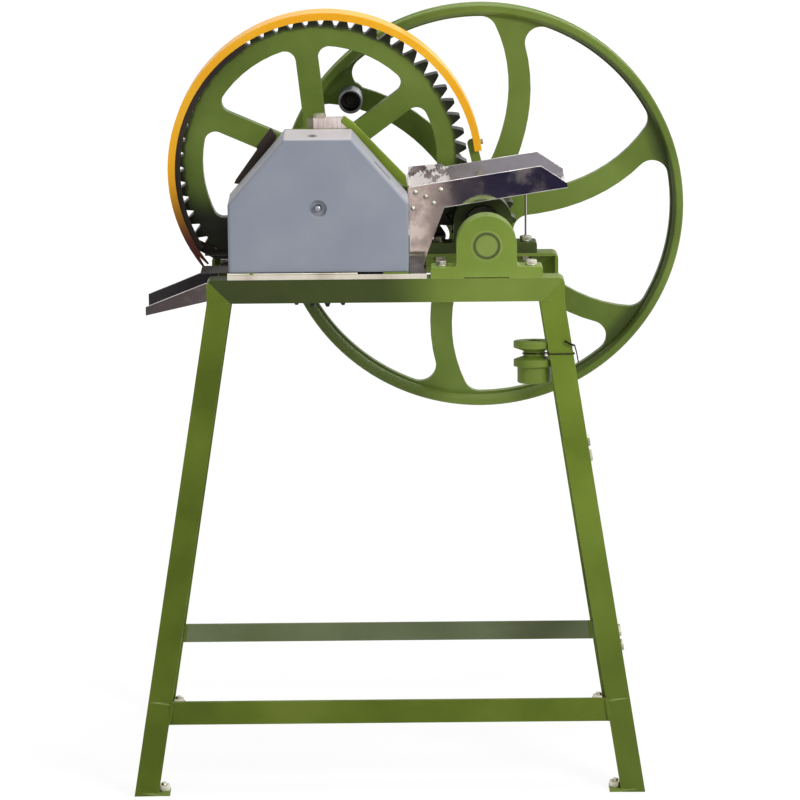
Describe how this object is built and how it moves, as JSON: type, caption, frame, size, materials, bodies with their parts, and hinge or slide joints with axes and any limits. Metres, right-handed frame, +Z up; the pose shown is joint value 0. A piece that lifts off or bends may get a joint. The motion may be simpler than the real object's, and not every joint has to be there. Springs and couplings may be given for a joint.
{
  "type": "sugarcane crushing mill",
  "caption": "Three-roller cane mill on a splayed angle-iron stand, with a large gear under an orange guard, a flywheel with a hand crank, a feed trough and a juice chute.",
  "frame": {"origin": "middle of the bounding box, at floor level", "axes": "+X to the feed trough, +Y from the gear cover to the flywheel, +Z up"},
  "size_m": [0.9116, 0.5536, 1.213],
  "materials": {
    "green_paint": "gloss enamel over rough steel, scuffed",
    "green_casting": "enamel over cast iron",
    "zinc": "zinc plated",
    "stainless": "polished sheet",
    "steel": "turned",
    "bronze": "turned",
    "grey_paint": "semi-gloss",
    "orange_paint": "gloss",
    "black_wire": "annealed wire"
  },
  "bodies": {
    "stand": {"front_beam": "green_paint", "rear_beam": "green_paint", "leg_front_left": "green_paint", "leg_front_right": "green_paint", "leg_rear_left": "green_paint", "leg_rear_right": "green_paint", "front_stretcher": "green_paint", "rear_stretcher": "green_paint", "foot_tabs": "green_paint", "foot_bolts": "zinc", "motor_rail_upper": "green_paint", "motor_rail_lower": "green_paint", "motor_rail_bolts": "zinc", "drip_tray": "stainless", "bed_bars": "green_paint", "bed_bolts": "zinc", "front_cheek": "green_casting", "rear_cheek": "green_casting", "tie_bolts": "zinc", "tie_spacers": "steel", "roller_bushes": "bronze", "scraper": "steel", "hood_left": "green_paint", "hood_right": "green_paint", "top_plate": "green_paint", "top_cap": "stainless", "top_cap_bolt": "zinc", "housing_screws": "zinc", "cover_stay": "steel", "gear_cover": "grey_paint", "cover_bolt": "zinc", "gear_guard": "orange_paint", "guard_arm": "green_paint", "guard_bracket": "green_paint", "feed_trough": "stainless", "trough_rivets": "zinc", "trough_stay": "stainless", "juice_chute": "stainless", "chute_hangers": "stainless", "pillow_block_front": "green_paint", "pillow_block_rear": "green_paint", "pillow_bushes": "bronze", "pillow_bolts": "zinc", "motor_pulley": "green_paint", "pulley_set_screw": "zinc", "pulley_tie_wire": "black_wire"},
    "flywheel": {"drive_shaft": "steel", "drive_keys": "zinc", "pinion": "green_casting", "flywheel": "green_casting", "crank_pin": "zinc"},
    "crank_grip": {"crank_grip": "steel"},
    "top_roller": {"top_roller": "steel", "top_roller_gear": "steel", "bull_gear": "green_casting", "bull_gear_key": "zinc"},
    "feed_roller": {"feed_roller": "steel", "feed_roller_gear": "steel"},
    "discharge_roller": {"discharge_roller": "steel", "discharge_roller_gear": "steel"}
  },
  "joints": [
    {"name": "flywheel_spin", "type": "hinge", "parent": "stand", "child": "flywheel", "pos_m": [0.11477, -0.02518, 0.869], "axis": [0, 1, 0], "continuous": true},
    {"name": "top_roller_spin", "type": "hinge", "parent": "stand", "child": "top_roller", "pos_m": [-0.15213, 0.02482, 0.963], "axis": [0, 1, 0], "continuous": true},
    {"name": "feed_roller_spin", "type": "hinge", "parent": "stand", "child": "feed_roller", "pos_m": [-0.10013, 0.02482, 0.89703], "axis": [0, 1, 0], "continuous": true},
    {"name": "discharge_roller_spin", "type": "hinge", "parent": "stand", "child": "discharge_roller", "pos_m": [-0.20413, 0.02482, 0.89703], "axis": [0, 1, 0], "continuous": true},
    {"name": "crank_grip_spin", "type": "hinge", "parent": "flywheel", "child": "crank_grip", "pos_m": [-0.10118, 0.18982, 1.05651], "axis": [0, 1, 0], "continuous": true}
  ],
  "couplings": [
    {"joint": "top_roller_spin", "follows": "flywheel_spin", "ratio": -0.2069},
    {"joint": "feed_roller_spin", "follows": "flywheel_spin", "ratio": 0.2069},
    {"joint": "discharge_roller_spin", "follows": "flywheel_spin", "ratio": 0.2069}
  ]
}
